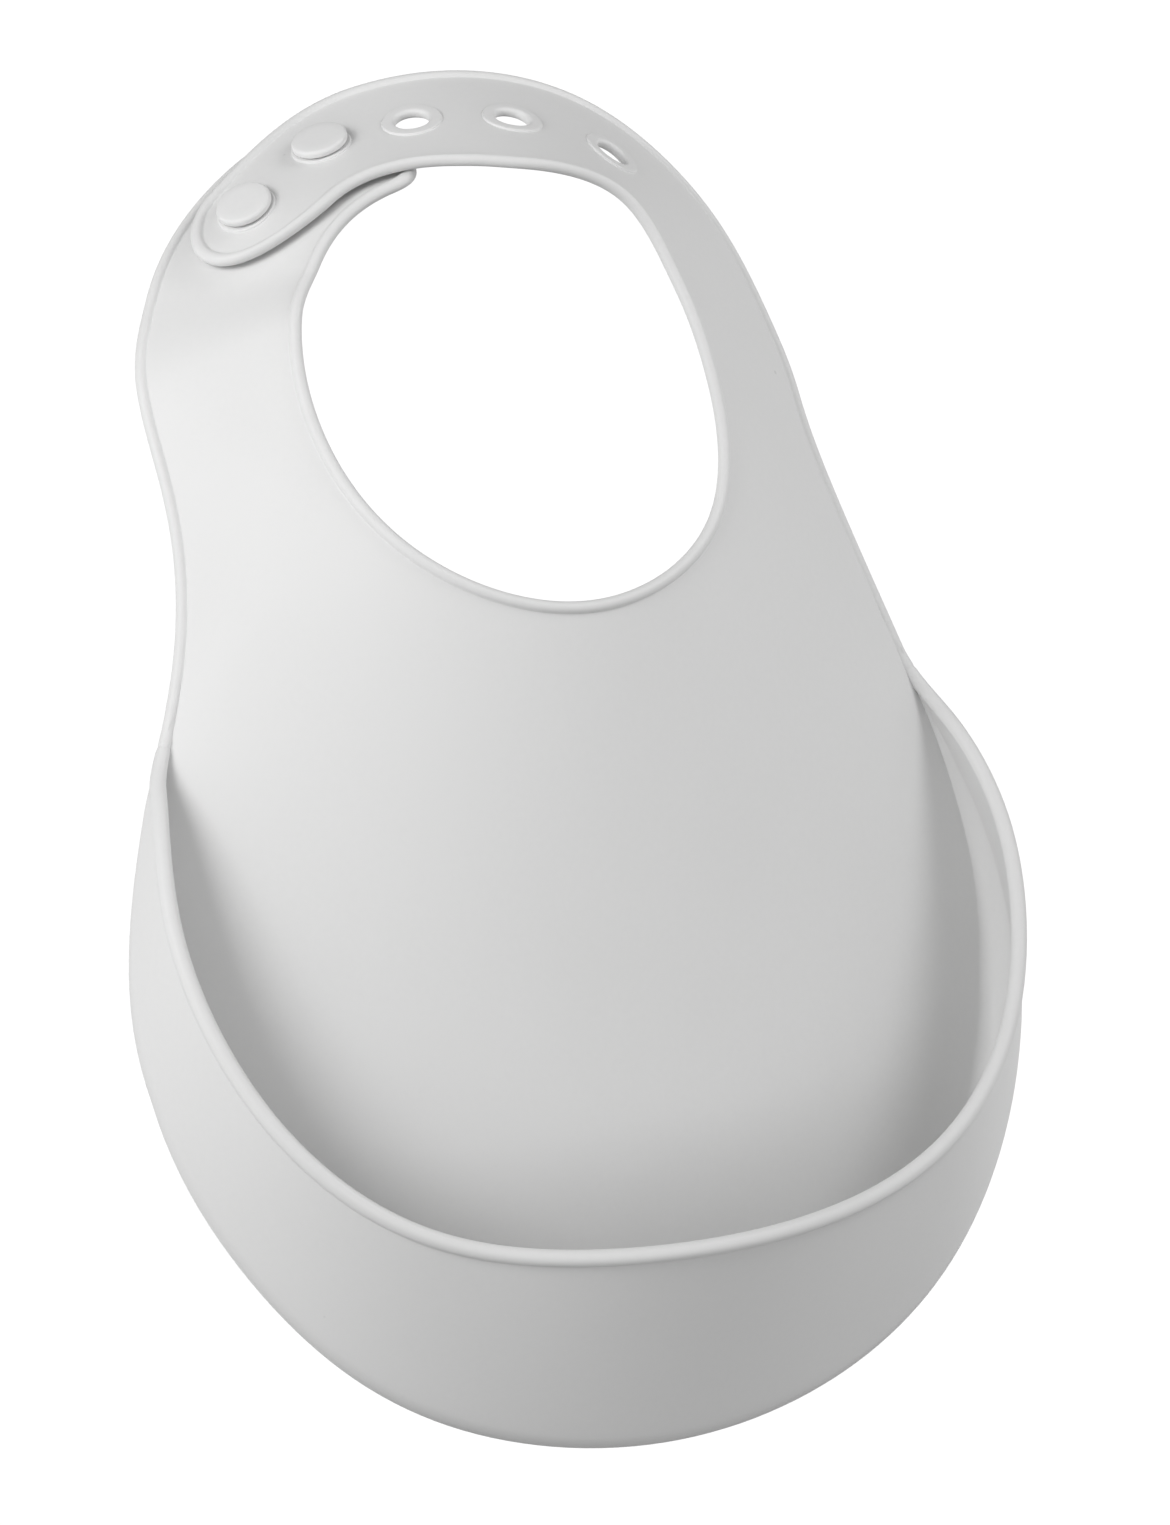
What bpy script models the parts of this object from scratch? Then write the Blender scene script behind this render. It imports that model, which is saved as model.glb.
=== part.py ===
"""A silicone baby bib with a catcher pocket, fastened and upright as it is worn.

X points to the wearer's left, Y towards the wearer and Z up. The drawing's own zero is
at the foot of the panel, and one empty moves it so that the origin is the neck's middle.

The moulding is a sheet loft between two closed lines, the neck edge and the outer line,
both read by an angle round the neck: 0 at the throat, positive to the +X side, 180 behind
the neck. Below the two pocket corners the outer line is the fold from which the pocket
wall turns forward and up. The strap from the +X side carries five eyelets and lies on the
shorter strap from the -X side, which carries two studs.
"""

import math

import bmesh
import bpy
import numpy as np
from mathutils import Matrix, Vector

# Sizes are in millimetres and angles in degrees unless a name says otherwise.
MM = 0.001
GAP = 0.3

SHEET = 1.8
BEAD = 1.5
BEAD_RAISE = 0.4
RIM_BEAD = 1.9
BEAD_ROOM = 2 * BEAD + GAP
RIM_ROOM = 2 * RIM_BEAD + GAP

NECK_EDGE = {
    0: (0, 0, 204), 30: (36, 10, 221.5), 60: (41.5, 18.5, 257),
    90: (37.5, 25.5, 279.5), 120: (28.5, 28, 297), 150: (12, 26.5, 304),
    180: (-0.5, 28, 306), 210: (-17.5, 34, 307), 240: (-39, 36.5, 297.5),
    270: (-52.5, 31.5, 273.5), 300: (-51.5, 22.5, 243.5), 330: (-36, 6, 216.5),
}
COLLAR_EDGE = {
    60: (81, 36, 223.5), 75: (75.5, 41.5, 251), 90: (73, 47.5, 267),
    110: (66.5, 56, 290), 130: (53.5, 61.5, 310), 150: (34.5, 64.5, 325),
    180: (-2, 69.5, 333), 210: (-38, 76, 324), 230: (-60, 72, 310),
    250: (-78.5, 64, 288.5), 270: (-86.5, 53.5, 260), 285: (-85, 46, 236.5),
    300: (-87, 37, 208),
}
POCKET_CORNER = 50
FOLD_LINE = {
    0: (0, 0, -6), 12.5: (58, 3.5, 6.5), 25: (97.5, 13, 44),
    37.5: (116.5, 27, 106), 50: (96.5, 31, 177.5),
}

# The pocket wall at 0, 1/4, 1/2, 3/4 and all of the way from the middle to a corner.
WALL_HEIGHT = (81, 71, 60.5, 46, 0)
WALL_LEAN = (58.5, 61, 59.5, 63, 63)
FOLD_ROUNDING = 40
FOLD_SHARE = 0.75
WALL_ENDS = 47.5
RIM_ENDS = 49.4
POCKET_FRONT = 17

# The angles at which the straps bend, and half the length of each bending strip.
STUD_HINGE = -85
STRAP_HINGE = 100
FLEX_HALF = 5
TIP_HINGE = 204.2
TIP_FLEX_HALF = 2.3
SHOULDER = 52
SIDE_STARTS = 49.7

HOLES_AT = (238, 215, 193.5, 167, 137)
HOLES_ACROSS = (0.58, 0.59, 0.53, 0.50, 0.52)
STUDS = 2

# How far the stud strap dips to pass behind the eyelet strap, and where it does so.
DIP = 3.3
DIP_STARTS, DIP_ENDS = -90, -106

TIP_CENTRE, TIP_END = 235, 251.5
TIP_HALF_WIDTH = 0.38
TIP_NARROWS_FROM, TIP_NARROW_BY = 195, 232
STUD_END_CENTRE, STUD_END = -138, -158

EYELET_RADIUS = 7.2
EYELET_BORE = 3.7
EYELET_RAISE = 1.5
HEAD_RADIUS = 6.8
HEAD_THICK = 1.9
HEAD_ROUND = 0.6
STEM_RADIUS = 3.2
ROUND_SIDES = 24

NECK_MIDDLE = (0, 18, 255)

SILICONE = (0.66, 0.66, 0.655, 1.0)
SILICONE_BEAD = (0.70, 0.70, 0.695, 1.0)
SILICONE_STUD = (0.73, 0.73, 0.725, 1.0)


# ---------------------------------------------------------------- lines of the moulding

def loop_spline(stations):
    """A smooth closed line through points given by their angle round the neck."""
    angles = np.array(sorted(stations), float)
    points = np.array([stations[a] for a in sorted(stations)], float)
    count = len(angles)
    step = np.diff(np.append(angles, angles[0] + 360.0))
    slope = (np.roll(points, -1, 0) - points) / step[:, None]
    matrix = np.zeros((count, count))
    right = np.zeros((count, 3))
    for i in range(count):
        matrix[i, i - 1] = step[i]
        matrix[i, i] = 2 * (step[i - 1] + step[i])
        matrix[i, (i + 1) % count] = step[i - 1]
        right[i] = 3 * (step[i] * slope[i - 1] + step[i - 1] * slope[i])
    tangent = np.linalg.solve(matrix, right)

    def line(angle):
        angle = angle % 360.0
        if angle < angles[0]:
            angle += 360.0
        i = min(int(np.searchsorted(angles, angle, side="right")) - 1, count - 1)
        j = (i + 1) % count
        t = (angle - angles[i]) / step[i]
        return Vector(
            (2 * t**3 - 3 * t**2 + 1) * points[i]
            + (t**3 - 2 * t**2 + t) * step[i] * tangent[i]
            + (3 * t**2 - 2 * t**3) * points[j]
            + (t**3 - t**2) * step[i] * tangent[j]
        )

    return line


def even_spline(values):
    """A smooth curve on 0..1 that is mirrored at 0, through equally spaced values."""
    half = np.linspace(0.0, 1.0, len(values))
    knots = np.concatenate([-half[:0:-1], half])
    heights = np.concatenate([np.array(values, float)[:0:-1], values])
    count = len(knots)
    step = half[1]
    matrix = np.eye(count)
    right = np.zeros(count)
    for i in range(1, count - 1):
        matrix[i, i - 1:i + 2] = (1, 4, 1)
        right[i] = 6 * (heights[i + 1] - 2 * heights[i] + heights[i - 1]) / step**2
    bend = np.linalg.solve(matrix, right)

    def curve(s):
        i = min(max(int(np.searchsorted(knots, s, side="right")) - 1, 0), count - 2)
        a = (knots[i + 1] - s) / step
        b = (s - knots[i]) / step
        bow = ((a**3 - a) * bend[i] + (b**3 - b) * bend[i + 1]) * step**2 / 6
        return float(a * heights[i] + b * heights[i + 1] + bow)

    return curve


def outer_stations():
    """The collar's outer edge joined to the fold line and its mirror image."""
    stations = dict(COLLAR_EDGE)
    for angle, (x, y, z) in FOLD_LINE.items():
        stations[angle] = (x, y, z)
        if angle:
            stations[360 - angle] = (-x, y, z)
    return stations


neck_line = loop_spline(NECK_EDGE)
outer_line = loop_spline(outer_stations())
wall_height = even_spline(WALL_HEIGHT)
wall_lean = even_spline(WALL_LEAN)


def smooth(start, end, value):
    """0 before start, 1 after end, easing between."""
    t = min(max((value - start) / (end - start), 0.0), 1.0)
    return t * t * (3 - 2 * t)


def across(angle):
    """The direction from the neck edge to the outer line, and the sheet's front normal."""
    out = (outer_line(angle) - neck_line(angle)).normalized()
    along = outer_line(angle + 0.5) - outer_line(angle - 0.5)
    return out, out.cross(along).normalized()


def sheet_point(angle, share, raised=0.0):
    """A point of the sheet, from 0 at the neck edge to 1 at the outer line."""
    _, normal = across(angle)
    return neck_line(angle).lerp(outer_line(angle), share) + normal * raised


def sheet_width(angle):
    return (outer_line(angle) - neck_line(angle)).length


def room(line, angle, direction, width):
    """How far to go from a line in a direction to come a width away from it."""
    along = (line(angle + 0.5) - line(angle - 0.5)).normalized()
    return width / along.cross(direction).length


def inside(angle, width):
    """The shares across the sheet that lie a width inside its two edges."""
    out, _ = across(angle)
    from_neck = room(neck_line, angle, out, width)
    from_outer = room(outer_line, angle, out, width)
    whole = sheet_width(angle)
    return from_neck / whole, 1 - from_outer / whole


# ------------------------------------------------------------------------- the two straps

def span(start, end, count):
    return [start + (end - start) * i / (count - 1) for i in range(count)]


def tip_narrowing(angle):
    """How much of the sheet's width the eyelet strap gives up on each side."""
    return (0.5 - TIP_HALF_WIDTH) * smooth(TIP_NARROWS_FROM, TIP_NARROW_BY, angle)


def no_narrowing(_angle):
    return 0.0


def stud_strap_lift(angle):
    """How far the stud strap stands in front of the sheet, which is less than nothing."""
    return -DIP * smooth(DIP_STARTS, DIP_ENDS, angle)


def no_lift(_angle):
    return 0.0


class Strap:
    """A strap that follows the sheet, with a round end."""

    def __init__(self, narrowing, lift, centre, end):
        self.narrowing = narrowing
        self.lift = lift
        self.centre = centre
        self.end = end

    def end_inside(self, width):
        """The angle a width short of the round end."""
        step = (sheet_point(self.end + 0.5, 0.5) - sheet_point(self.end - 0.5, 0.5)).length
        return self.end - math.copysign(width / step, self.end - self.centre)

    def sides(self, angle, width):
        """The two shares across the sheet that lie a width inside the strap's edges."""
        low, high = inside(angle, width)
        low += self.narrowing(angle)
        high -= self.narrowing(angle)
        turn = (angle - self.centre) / (self.end_inside(width) - self.centre)
        close = math.sqrt(max(1 - max(turn, 0.0) ** 2, 0.0))
        middle = (low + high) / 2
        return middle + (low - middle) * close, middle + (high - middle) * close

    def point(self, angle, share, raised=0.0):
        return sheet_point(angle, share, self.lift(angle) + raised)

    def rows(self, angles, columns, width):
        """Rows of points across the strap, a width inside its edges."""
        rows = []
        for angle in angles:
            low, high = self.sides(angle, width)
            rows.append([self.point(angle, share) for share in span(low, high, columns)])
        return rows

    def edge(self, angles, side):
        """The middle of an edge's bead, side 0 by the neck and side 1 outside."""
        shares = [self.sides(angle, BEAD)[side] for angle in angles]
        return [self.point(*spot, BEAD_RAISE) for spot in zip(angles, shares)]

    def end_angles(self, start, width, count, end_count, reach):
        """Angles to the round end, closing up by a turn of a given reach."""
        end = self.end_inside(width)
        turns = [math.radians(reach * i / end_count) for i in range(1, end_count + 1)]
        rounded = [self.centre + (end - self.centre) * math.sin(turn) for turn in turns]
        return span(start, self.centre, count) + rounded


EYELET_STRAP = Strap(tip_narrowing, no_lift, TIP_CENTRE, TIP_END)
STUD_STRAP = Strap(no_narrowing, stud_strap_lift, STUD_END_CENTRE, STUD_END)


# ------------------------------------------------------------------------------ the pocket

def pocket_wall(angle):
    """The fold point, the direction down to it, the direction up the wall and its height."""
    out, normal = across(angle)
    share = abs(angle) / POCKET_CORNER
    turn = math.radians(90 + wall_lean(share))
    up = out * math.cos(turn) + normal * math.sin(turn)
    return outer_line(angle), out, up, max(wall_height(share), 0.0)


def rim_line(angle):
    """The upper edge of the pocket's wall, which runs into the fold at each corner."""
    fold, _, up, height = pocket_wall(angle)
    return fold + up * height


def below_rim(angle, width):
    """The height up the wall that lies a width below the rim."""
    _, _, up, height = pocket_wall(angle)
    return max(height - room(rim_line, angle, up, width), 0.0)


def fold_rounding(angle):
    """How far the fold's rounding reaches down the panel and up the wall."""
    return min(FOLD_ROUNDING, FOLD_SHARE * below_rim(angle, RIM_ROOM))


def sheet_edge(angles, side):
    """The middle of the bead on the sheet's own edge, side 0 at the neck, 1 outside."""
    return [sheet_point(angle, inside(angle, BEAD)[side], BEAD_RAISE) for angle in angles]


def panel_end(angle, edge_room):
    """How far down from the neck edge the flat of the sheet runs."""
    out, _ = across(angle)
    width = sheet_width(angle)
    edge = width - room(outer_line, angle, out, edge_room)
    if abs(angle) >= POCKET_CORNER:
        return edge
    split = room(outer_line, angle, out, GAP / 2)
    return min(edge, width - fold_rounding(angle) - split)


def panel_rows(angles, columns, edge_room=BEAD_ROOM):
    rows = []
    for angle in angles:
        out, _ = across(angle)
        start = room(neck_line, angle, out, BEAD_ROOM)
        reach = span(start, panel_end(angle, edge_room), columns)
        rows.append([neck_line(angle) + out * distance for distance in reach])
    return rows


def pocket_rows(angles, fold_steps, wall_steps):
    """Rows from the foot of the panel, round the fold and up to the rim bead."""
    rows = []
    for angle in angles:
        fold, out, up, _ = pocket_wall(angle)
        rounding = fold_rounding(angle)
        split = room(outer_line, angle, out, GAP / 2)
        first = fold - out * (rounding - split)
        last = fold + up * rounding
        row = []
        for t in span(0.0, 1.0, fold_steps):
            row.append(first * (1 - t) ** 2 + fold * 2 * t * (1 - t) + last * t * t)
        for distance in span(rounding, below_rim(angle, RIM_ROOM), wall_steps)[1:]:
            row.append(fold + up * distance)
        rows.append(row)
    return rows


def rim_points(angles):
    """The middle of the bead along the pocket's rim."""
    points = []
    for angle in angles:
        fold, out, up, height = pocket_wall(angle)
        stand = smooth(0.0, 3 * RIM_BEAD, height)
        inwards = room(outer_line, angle, out, RIM_BEAD) * (1 - stand)
        upwards = below_rim(angle, RIM_BEAD) * stand
        points.append(fold - out * inwards + up * upwards)
    return points


# ------------------------------------------------------------------------ Blender objects

def clear_scene():
    for thing in list(bpy.data.objects):
        bpy.data.objects.remove(thing)


def silicone(name, colour, roughness):
    material = bpy.data.materials.new(name)
    material.use_nodes = True
    shader = material.node_tree.nodes["Principled BSDF"]
    shader.inputs["Base Color"].default_value = colour
    shader.inputs["Roughness"].default_value = roughness
    shader.inputs["Metallic"].default_value = 0.0
    return material


def place_of(holder):
    """Where an empty stands in the drawing, in metres; the topmost one is the drawing."""
    place = Matrix.Identity(4)
    while holder.parent:
        place = holder.matrix_basis @ place
        holder = holder.parent
    return place


def stand(point, direction):
    """A place in the drawing, in metres, with its Z along a direction."""
    turn = direction.to_track_quat("Z", "Y").to_matrix().to_4x4()
    return Matrix.Translation(point * MM) @ turn


def put(name, data, holder, place=Matrix.Identity(4)):
    """An object, or an empty without data, at a place in the drawing."""
    thing = bpy.data.objects.new(name, data)
    bpy.context.collection.objects.link(thing)
    thing.parent = holder
    thing.matrix_basis = place_of(holder).inverted() @ place
    return thing


def root_frame():
    """The empty that moves the drawing's zero to the middle of the neck."""
    frame = bpy.data.objects.new("bib_frame", None)
    bpy.context.collection.objects.link(frame)
    frame.location = Vector(NECK_MIDDLE) * -MM
    return frame


def sheet(name, rows, holder, material):
    """A sheet of even thickness over a grid of points."""
    mesh = bpy.data.meshes.new(name)
    form = bmesh.new()
    grid = [[form.verts.new(point * MM) for point in row] for row in rows]
    for low, high in zip(grid, grid[1:]):
        for a, b, c, d in zip(low, low[1:], high[1:], high):
            form.faces.new((a, b, c, d))
    form.to_mesh(mesh)
    form.free()
    mesh.shade_smooth()
    mesh.materials.append(material)
    thing = put(name, mesh, holder)
    solid = thing.modifiers.new("thickness", "SOLIDIFY")
    solid.thickness = SHEET * MM
    solid.offset = 0.0
    solid.use_even_offset = True
    return thing


def bead(name, points, radius, holder, material):
    """A round bead along a line of points."""
    curve = bpy.data.curves.new(name, "CURVE")
    curve.dimensions = "3D"
    curve.bevel_depth = radius * MM
    curve.bevel_resolution = 2
    curve.use_fill_caps = True
    line = curve.splines.new("POLY")
    line.points.add(len(points) - 1)
    for target, point in zip(line.points, points):
        target.co = (*(point * MM), 1.0)
    curve.materials.append(material)
    return put(name, curve, holder)


def turned(name, profile, place, holder, material):
    """A round piece turned from (radius, height) corners about its place's Z."""
    mesh = bpy.data.meshes.new(name)
    form = bmesh.new()
    corners = [form.verts.new((r * MM, 0.0, h * MM)) for r, h in profile]
    edges = [form.edges.new(pair) for pair in zip(corners, corners[1:])]
    if profile[0][0] > 0:
        edges.append(form.edges.new((corners[-1], corners[0])))
    bmesh.ops.spin(
        form, geom=corners + edges, cent=(0, 0, 0), axis=(0, 0, 1),
        angle=2 * math.pi, steps=ROUND_SIDES, use_merge=True,
    )
    bmesh.ops.remove_doubles(form, verts=form.verts, dist=1e-7)
    bmesh.ops.dissolve_degenerate(form, edges=form.edges, dist=1e-7)
    bmesh.ops.recalc_face_normals(form, faces=form.faces)
    form.to_mesh(mesh)
    form.free()
    mesh.shade_smooth()
    mesh.set_sharp_from_angle(angle=math.radians(35))
    mesh.materials.append(material)
    return put(name, mesh, holder, place)


def cut_hole(web, number, holder):
    """Bore a strap's web where an eyelet sits."""
    name = f"bore_{number + 1}"
    mesh = bpy.data.meshes.new(name)
    form = bmesh.new()
    radius = (EYELET_RADIUS + GAP) * MM
    bmesh.ops.create_cone(
        form, cap_ends=True, segments=ROUND_SIDES, depth=10 * MM,
        radius1=radius, radius2=radius,
    )
    form.to_mesh(mesh)
    form.free()
    cutter = put(name, mesh, holder, stand(*hole_place(number)))
    cutter.hide_render = True
    cutter.display_type = "WIRE"
    cut = web.modifiers.new(name, "BOOLEAN")
    cut.operation = "DIFFERENCE"
    cut.solver = "EXACT"
    cut.object = cutter


# ------------------------------------------------------------------------------- fasteners

def hole_place(number):
    """The middle of eyelet number 0 to 4 on the eyelet strap, and the strap's normal."""
    angle = HOLES_AT[number]
    centre = EYELET_STRAP.point(angle, HOLES_ACROSS[number])
    return centre, across(angle)[1]


def eyelet(number, holder, material):
    """A raised round rim moulded about a hole."""
    low, high = -SHEET / 2, EYELET_RAISE
    profile = [
        (EYELET_BORE, low), (EYELET_RADIUS, low), (EYELET_RADIUS, high - HEAD_ROUND),
        (EYELET_RADIUS - HEAD_ROUND, high), (EYELET_BORE + HEAD_ROUND, high),
        (EYELET_BORE, high - HEAD_ROUND),
    ]
    turned(f"eyelet_{number + 1}", profile, stand(*hole_place(number)), holder, material)


def stud(number, holder, material):
    """A stem from the stud strap through the eyelet, and a flat round head over it."""
    foot = SHEET / 2 + GAP - DIP
    low = EYELET_RAISE + GAP
    high = low + HEAD_THICK
    profile = [
        (0.0, foot), (STEM_RADIUS, foot), (STEM_RADIUS, low), (HEAD_RADIUS - HEAD_ROUND, low),
        (HEAD_RADIUS, low + HEAD_ROUND), (HEAD_RADIUS, high - HEAD_ROUND),
        (HEAD_RADIUS - HEAD_ROUND, high), (0.0, high),
    ]
    turned(f"stud_{number + 1}", profile, stand(*hole_place(number)), holder, material)


# ---------------------------------------------------------------------------------- hinges

def studs_middle():
    """The middle of the fastened studs and the direction in which they pull free."""
    places = [hole_place(number) for number in range(STUDS)]
    centre = sum((place[0] for place in places), Vector()) / STUDS
    return centre, sum((place[1] for place in places), Vector()).normalized()


def pull_axis(point):
    """The axis at a point about which the studs' place moves straight off the studs."""
    centre, pull = studs_middle()
    return (centre - point).cross(pull).normalized()


# -------------------------------------------------------------------------------- assembly

def build_pocket(name, start, end, rim_start, rim_end, frame, skin, trim):
    """A stretch of the pocket with its fold, wall and rim bead."""
    split = 0.06
    rows = pocket_rows(span(start + split, end - split, 17), 7, 3)
    sheet(f"pocket_{name}", rows, frame, skin)
    rim = rim_points(span(rim_start + split, rim_end - split, 21))
    bead(f"rim_bead_{name}", rim, RIM_BEAD, frame, trim)


def build_pockets(frame, skin, trim):
    """The front of the pocket and its two sides, which run up to the corners."""
    turn = POCKET_FRONT
    build_pocket("right", -WALL_ENDS, -turn, -RIM_ENDS, -turn, frame, skin, trim)
    build_pocket("front", -turn, turn, -turn, turn, frame, skin, trim)
    build_pocket("left", turn, WALL_ENDS, turn, RIM_ENDS, frame, skin, trim)


def build_front(frame, skin, trim):
    """The panel, both shoulders and the beads along their edges."""
    right_end = STUD_HINGE + FLEX_HALF
    left_end = STRAP_HINGE - FLEX_HALF
    split = 0.2
    panel = span(split - SHOULDER, SHOULDER - split, 41)
    sheet("chest_panel", panel_rows(panel, 6, RIM_ROOM), frame, skin)
    right = span(right_end, -SHOULDER - split, 9)
    sheet("right_shoulder", panel_rows(right, 5), frame, skin)
    left = span(SHOULDER + split, left_end, 13)
    sheet("left_shoulder", panel_rows(left, 5), frame, skin)
    bead("neck_edge_bead", sheet_edge(span(right_end, left_end, 51), 0), BEAD, frame, trim)
    right = sheet_edge(span(right_end, -SIDE_STARTS, 11), 1)
    bead("right_edge_bead", right, BEAD, frame, trim)
    left = sheet_edge(span(SIDE_STARTS, left_end, 15), 1)
    bead("left_edge_bead", left, BEAD, frame, trim)


def flex_strip(name, hinge_at, half, strap, holder, material):
    """The short stretch of strap that bends at a hinge."""
    reach = 0.75 * half
    angles = span(hinge_at - reach, hinge_at + reach, 3)
    sheet(name, strap.rows(angles, 4, BEAD_ROOM), holder, material)


def build_eyelet_strap(holder, skin, trim):
    """The long strap as far as its tip, with its three free eyelets."""
    angles = span(STRAP_HINGE + FLEX_HALF, TIP_HINGE - TIP_FLEX_HALF, 29)
    rows = EYELET_STRAP.rows(angles, 5, BEAD_ROOM)
    web = sheet("eyelet_strap_web", rows, holder, skin)
    bead("eyelet_strap_inner_bead", EYELET_STRAP.edge(angles, 0), BEAD, holder, trim)
    bead("eyelet_strap_outer_bead", EYELET_STRAP.edge(angles, 1), BEAD, holder, trim)
    for number in range(STUDS, len(HOLES_AT)):
        cut_hole(web, number, holder)
        eyelet(number, holder, trim)


def build_round_end(name, strap, start, count, holder, skin, trim):
    """A strap's round end: its web and the bead that runs round it."""
    angles = strap.end_angles(start, BEAD_ROOM, count, 6, 80)
    web = sheet(f"{name}_web", strap.rows(angles, 5, BEAD_ROOM), holder, skin)
    angles = strap.end_angles(start, BEAD, count, 6, 90)
    round_the_end = strap.edge(angles, 1) + strap.edge(angles[:-1], 0)[::-1]
    bead(f"{name}_bead", round_the_end, BEAD, holder, trim)
    return web


def build_tip(holder, skin, trim):
    """The strap's tip, with the two eyelets that are fastened over the studs."""
    start = TIP_HINGE + TIP_FLEX_HALF
    web = build_round_end("strap_tip", EYELET_STRAP, start, 12, holder, skin, trim)
    for number in range(STUDS):
        cut_hole(web, number, holder)
        eyelet(number, holder, trim)


def build_stud_strap(holder, skin, trim, head_skin):
    start = STUD_HINGE - FLEX_HALF
    build_round_end("stud_strap", STUD_STRAP, start, 17, holder, skin, trim)
    for number in range(STUDS):
        stud(number, holder, head_skin)


def main():
    clear_scene()
    skin = silicone("silicone_sheet", SILICONE, 0.55)
    trim = silicone("silicone_bead", SILICONE_BEAD, 0.45)
    head_skin = silicone("silicone_stud", SILICONE_STUD, 0.4)
    frame = root_frame()
    build_front(frame, skin, trim)
    build_pockets(frame, skin, trim)

    bend_at = sheet_point(STUD_HINGE, 0.5)
    stud_hinge = put("stud_strap_hinge", None, frame, stand(bend_at, pull_axis(bend_at)))
    build_stud_strap(stud_hinge, skin, trim, head_skin)
    flex_strip("stud_strap_flex", STUD_HINGE, FLEX_HALF, STUD_STRAP, frame, skin)

    bend_at = sheet_point(STRAP_HINGE, 0.5)
    strap_hinge = put("eyelet_strap_hinge", None, frame, stand(bend_at, pull_axis(bend_at)))
    build_eyelet_strap(strap_hinge, skin, trim)
    flex_strip("eyelet_strap_flex", STRAP_HINGE, FLEX_HALF, EYELET_STRAP, frame, skin)

    bend_at = sheet_point(TIP_HINGE, 0.5)
    tip_hinge = put("strap_tip_hinge", None, strap_hinge, stand(bend_at, across(TIP_HINGE)[0]))
    build_tip(tip_hinge, skin, trim)
    flex_strip("strap_tip_flex", TIP_HINGE, TIP_FLEX_HALF, EYELET_STRAP, strap_hinge, skin)


if __name__ == "__main__":
    main()
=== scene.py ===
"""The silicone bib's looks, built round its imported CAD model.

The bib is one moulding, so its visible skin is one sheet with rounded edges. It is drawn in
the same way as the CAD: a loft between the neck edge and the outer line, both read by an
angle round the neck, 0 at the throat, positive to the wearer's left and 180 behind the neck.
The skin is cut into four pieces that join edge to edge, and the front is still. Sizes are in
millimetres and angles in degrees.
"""

import math

import bmesh
import bpy
import numpy as np
from mathutils import Matrix, Vector


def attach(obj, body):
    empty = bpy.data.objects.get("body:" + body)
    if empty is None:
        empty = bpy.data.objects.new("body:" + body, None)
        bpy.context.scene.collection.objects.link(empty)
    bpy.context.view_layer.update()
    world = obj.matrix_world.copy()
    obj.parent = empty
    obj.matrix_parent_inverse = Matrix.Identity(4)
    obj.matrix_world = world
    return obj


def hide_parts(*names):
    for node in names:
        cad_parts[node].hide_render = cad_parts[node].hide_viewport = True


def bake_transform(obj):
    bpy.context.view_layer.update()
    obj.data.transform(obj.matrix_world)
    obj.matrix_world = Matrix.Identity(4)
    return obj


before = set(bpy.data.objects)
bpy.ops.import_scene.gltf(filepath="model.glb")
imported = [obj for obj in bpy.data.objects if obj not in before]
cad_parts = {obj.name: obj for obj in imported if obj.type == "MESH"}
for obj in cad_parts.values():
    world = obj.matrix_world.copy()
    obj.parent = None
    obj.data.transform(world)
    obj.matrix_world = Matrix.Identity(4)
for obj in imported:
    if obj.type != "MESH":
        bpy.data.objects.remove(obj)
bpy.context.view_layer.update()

MM = 0.001

# The sheet, its round edges and the rim's round edge: each edge has a radius, and a raise of
# its middle in front of the sheet's. A round edge meets the sheet in a fillet this high, which
# falls to these shares of its height at these distances from the edge's foot.
SHEET = 1.8
BEAD, BEAD_RAISE = 1.5, 0.4
RIM_BEAD, RIM_RAISE = 1.9, -0.35
FILLET = 0.08
FILLET_RUN = np.array([0.12, 0.3, 0.65])
FILLET_FALL = np.array([0.45, 0.12, 0.0])

# The moulding's lines, as points by their angle round the neck. The fold line runs under the
# pocket from its middle to its left corner, and is mirrored to the right.
NECK_MIDDLE = np.array([0, 18, 255])
NECK_EDGE = {
    0: (0, 0, 204), 30: (36, 10, 221.5), 60: (41.5, 18.5, 257),
    90: (37.5, 25.5, 279.5), 120: (28.5, 28, 297), 150: (12, 26.5, 304),
    180: (-0.5, 28, 306), 210: (-17.5, 34, 307), 240: (-39, 36.5, 297.5),
    270: (-52.5, 31.5, 273.5), 300: (-51.5, 22.5, 243.5), 330: (-36, 6, 216.5),
}
COLLAR_EDGE = {
    60: (81, 36, 223.5), 75: (75.5, 41.5, 251), 90: (73, 47.5, 267),
    110: (66.5, 56, 290), 130: (53.5, 61.5, 310), 150: (34.5, 64.5, 325),
    180: (-2, 69.5, 333), 210: (-38, 76, 324), 230: (-60, 72, 310),
    250: (-78.5, 64, 288.5), 270: (-86.5, 53.5, 260), 285: (-85, 46, 236.5),
    300: (-87, 37, 208),
}
FOLD_LINE = {
    0: (0, 0, -6), 12.5: (58, 3.5, 6.5), 25: (97.5, 13, 44),
    37.5: (116.5, 27, 106), 50: (96.5, 31, 177.5),
}

# The pocket's wall at equal steps of angle from its middle to its corner: its height along
# the sheet, and how far past square to the panel it leans.
POCKET_CORNER = 50
WALL_HEIGHT = (81, 71, 60.5, 46, 0)
WALL_LEAN = (58.5, 61, 59.5, 63, 63)
# The sheet turns within this reach of the fold line, or this share of a lower wall's height.
FOLD_ROUNDING, FOLD_SHARE = 25, 0.47
# Between these angles the fold draws in by half a sheet, and the rim's round edge fades.
DRAWS_IN, LETS_OUT = (46.5, 50), 52.5
RIM_FADES = (46.5, 48.8)
# The corner bead's angles: its start in the collar's edge, where it leaves that edge, where it
# joins the rim, and its end there. Its parting line has a depth, a place and a width.
CORNER_BEAD = (57, 50.8, 46.3, 43)
PARTING, PARTING_PLACE, PARTING_WIDTH = 0.16, 0.3, 0.022
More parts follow.
